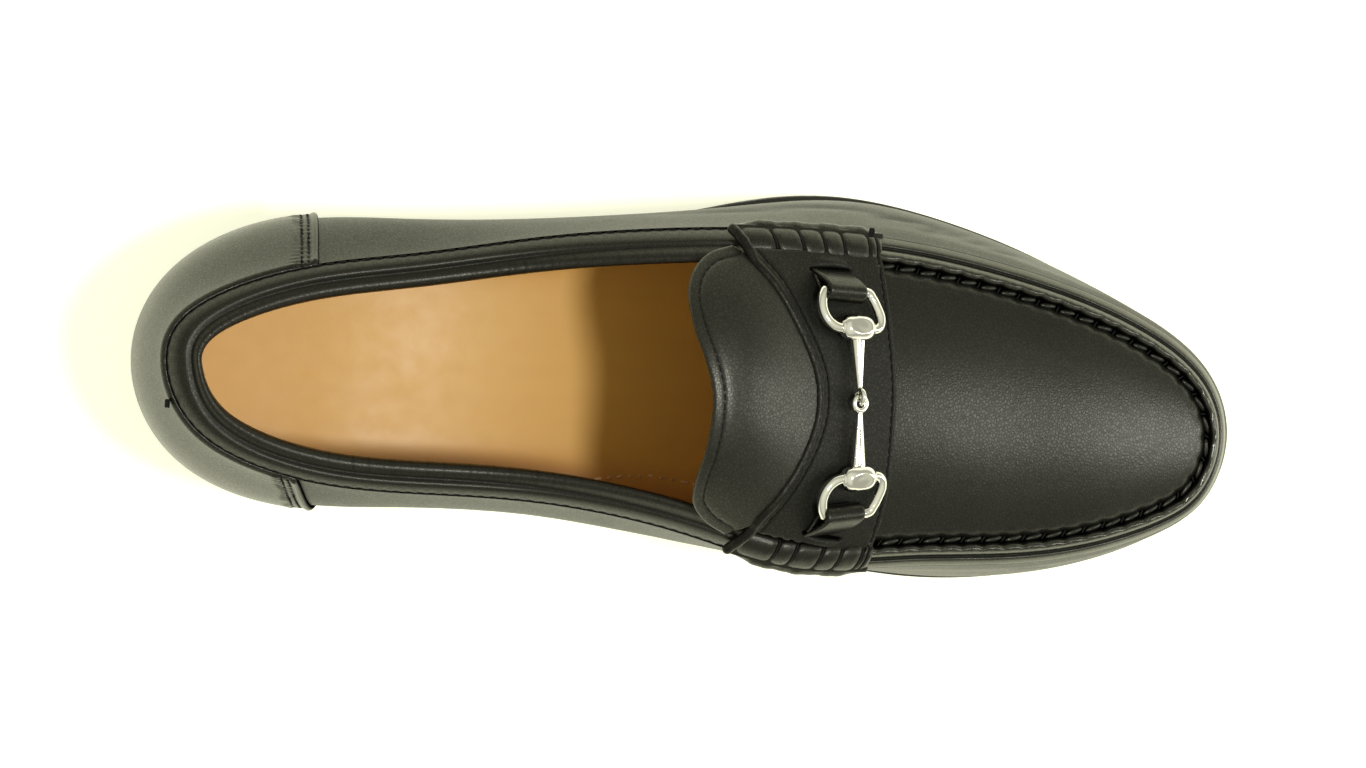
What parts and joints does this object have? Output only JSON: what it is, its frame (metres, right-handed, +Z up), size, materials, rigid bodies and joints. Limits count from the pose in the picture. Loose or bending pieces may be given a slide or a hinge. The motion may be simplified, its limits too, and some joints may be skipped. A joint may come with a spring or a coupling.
{
  "type": "loafer",
  "caption": "Left leather loafer, low heel, raised hand-sewn seam round the apron, saddle with a metal snaffle bit over the instep.",
  "frame": {"origin": "on the floor under the middle of the shoe's outline", "axes": "+X from heel to toe, +Y to the outer (little-toe) side, +Z up"},
  "size_m": [0.2982, 0.1024, 0.0971],
  "materials": {
    "black_leather": "smooth fine grain, semi-gloss",
    "sole_edge": "black edge dressing, satin",
    "rubber_top_piece": "matte",
    "tan_leather": "smooth natural, satin",
    "bit_metal": "polished nickel"
  },
  "bodies": {
    "root": {"outsole": "sole_edge", "heel_stack": "sole_edge", "heel_top_piece": "rubber_top_piece", "insole": "tan_leather", "upper": "black_leather", "counter": "black_leather", "collar_binding": "black_leather", "gathered_seam_outer": "black_leather", "gathered_seam_inner": "black_leather", "tongue": "black_leather", "saddle": "black_leather", "saddle_piping": "black_leather", "tab_outer": "black_leather", "tab_inner": "black_leather", "bit_ring_outer": "bit_metal", "bit_ring_inner": "bit_metal", "bit_bar_outer": "bit_metal", "bit_bar_inner": "bit_metal"}
  },
  "joints": []
}
